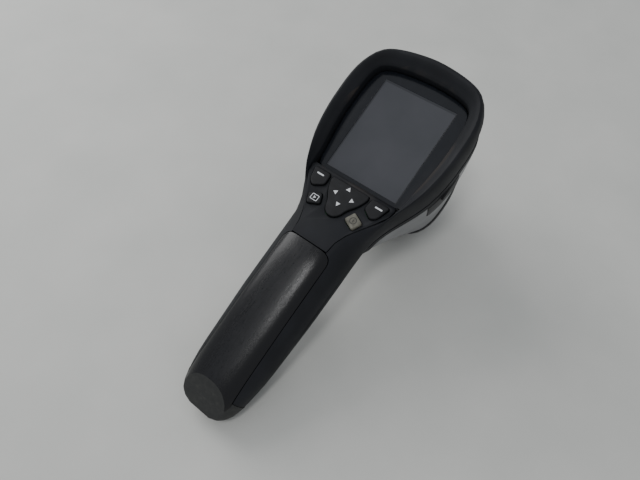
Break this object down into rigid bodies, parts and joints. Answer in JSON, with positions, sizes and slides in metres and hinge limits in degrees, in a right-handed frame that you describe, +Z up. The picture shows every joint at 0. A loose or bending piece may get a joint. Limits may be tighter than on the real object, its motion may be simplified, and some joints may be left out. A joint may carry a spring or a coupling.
{
  "type": "thermal imaging camera",
  "caption": "Handheld thermal imaging camera, display up on its nose: deep light nose, keypad, trigger, sliding battery cover and hinged lens shutter.",
  "frame": {"origin": "middle of the footprint on the table, under the middle of the overall box, with the camera lying display up on the chin of its nose and on the butt of its handle", "axes": "+Z up, +Y from the butt of the handle towards the head, +X to the right of the display as it is read"},
  "size_m": [0.079, 0.2128, 0.1059],
  "materials": {
    "black_shell": "satin",
    "nose_grey": "satin",
    "grip_gloss": "glossy",
    "butt_grey": "matte",
    "plate_black": "glossy",
    "window_glass": "glossy",
    "lcd": "satin",
    "key_rubber": "matte",
    "key_grey": "matte",
    "rubber": "matte",
    "bezel_black": "satin",
    "black_plastic": "matte",
    "germanium": "polished",
    "aluminium": "satin",
    "steel": "satin",
    "board_green": "satin",
    "battery_blue": "satin"
  },
  "bodies": {
    "body": {"rear_shell": "black_shell", "handle_front_shell": "black_shell", "nose_shell": "nose_grey", "butt_cap": "butt_grey", "strap_bar": "steel", "display_plate": "plate_black", "display_window": "window_glass", "lcd_panel": "lcd", "inner_frame": "black_plastic", "main_board": "board_green", "connector_board": "board_green", "usb_socket": "steel", "power_socket": "black_plastic", "card_socket": "steel", "memory_card": "black_plastic", "trigger_switch": "black_plastic", "battery": "battery_blue", "battery_contacts": "black_plastic", "keypad_plate": "plate_black", "keypad_board": "board_green", "nose_bumper": "rubber", "lens_bezel": "bezel_black", "shutter_pin": "steel", "germanium_lens": "germanium", "lens_o_ring": "rubber", "lens_barrel": "aluminium", "detector_module": "aluminium", "trigger_pin": "steel", "neck_screw_left": "steel", "neck_screw_right": "steel", "board_screw_upper_left": "steel", "board_screw_upper_right": "steel", "board_screw_lower_left": "steel", "board_screw_lower_right": "steel"},
    "battery_cover": {"battery_cover": "grip_gloss"},
    "connector_cover": {"connector_cover": "rubber"},
    "left_select_key": {"left_select_key": "key_rubber"},
    "right_select_key": {"right_select_key": "key_rubber"},
    "power_key": {"power_key": "key_grey"},
    "archive_key": {"archive_key": "key_rubber"},
    "nav_gimbal": {"nav_gimbal": "black_plastic"},
    "nav_pad": {"nav_pad": "key_rubber"},
    "shutter_blade": {"shutter_blade": "black_plastic"},
    "trigger": {"trigger": "black_plastic"}
  },
  "joints": [
    {"name": "left_select_press", "type": "slide", "parent": "body", "child": "left_select_key", "axis": [0, 0.2555, -0.9668], "range_m": [0, 0.0006], "stiffness_N_per_m": 1500},
    {"name": "right_select_press", "type": "slide", "parent": "body", "child": "right_select_key", "axis": [0, 0.2555, -0.9668], "range_m": [0, 0.0006], "stiffness_N_per_m": 1500},
    {"name": "power_press", "type": "slide", "parent": "body", "child": "power_key", "axis": [0, 0.2555, -0.9668], "range_m": [0, 0.0006], "stiffness_N_per_m": 1500},
    {"name": "archive_press", "type": "slide", "parent": "body", "child": "archive_key", "axis": [0, 0.2555, -0.9668], "range_m": [0, 0.0006], "stiffness_N_per_m": 1500},
    {"name": "nav_up_down", "type": "hinge", "parent": "body", "child": "nav_gimbal", "pos_m": [0, 0.00991, 0.0649], "axis": [1, 0, 0], "range_deg": [-3, 3], "stiffness_Nm_per_rad": 0.05},
    {"name": "nav_left_right", "type": "hinge", "parent": "nav_gimbal", "child": "nav_pad", "pos_m": [0, 0.00991, 0.0649], "axis": [0, 0.9668, 0.2555], "range_deg": [-3, 3], "stiffness_Nm_per_rad": 0.05},
    {"name": "trigger_pull", "type": "hinge", "parent": "body", "child": "trigger", "pos_m": [0, -0.0113, 0.03343], "axis": [-1, 0, 0], "range_deg": [0, 6], "stiffness_Nm_per_rad": 0.5},
    {"name": "shutter_swing", "type": "hinge", "parent": "body", "child": "shutter_blade", "pos_m": [-0.014, 0.0737, 0.01124], "axis": [0, 0.5737, -0.8191], "range_deg": [0, 55]},
    {"name": "connector_cover_swing", "type": "hinge", "parent": "body", "child": "connector_cover", "pos_m": [0.0359, 0.0589, 0.04498], "axis": [0, 0.9062, 0.4227], "range_deg": [0, 100]},
    {"name": "battery_cover_slide", "type": "slide", "parent": "body", "child": "battery_cover", "axis": [0, -0.9062, -0.4227], "range_m": [0, 0.012]}
  ]
}
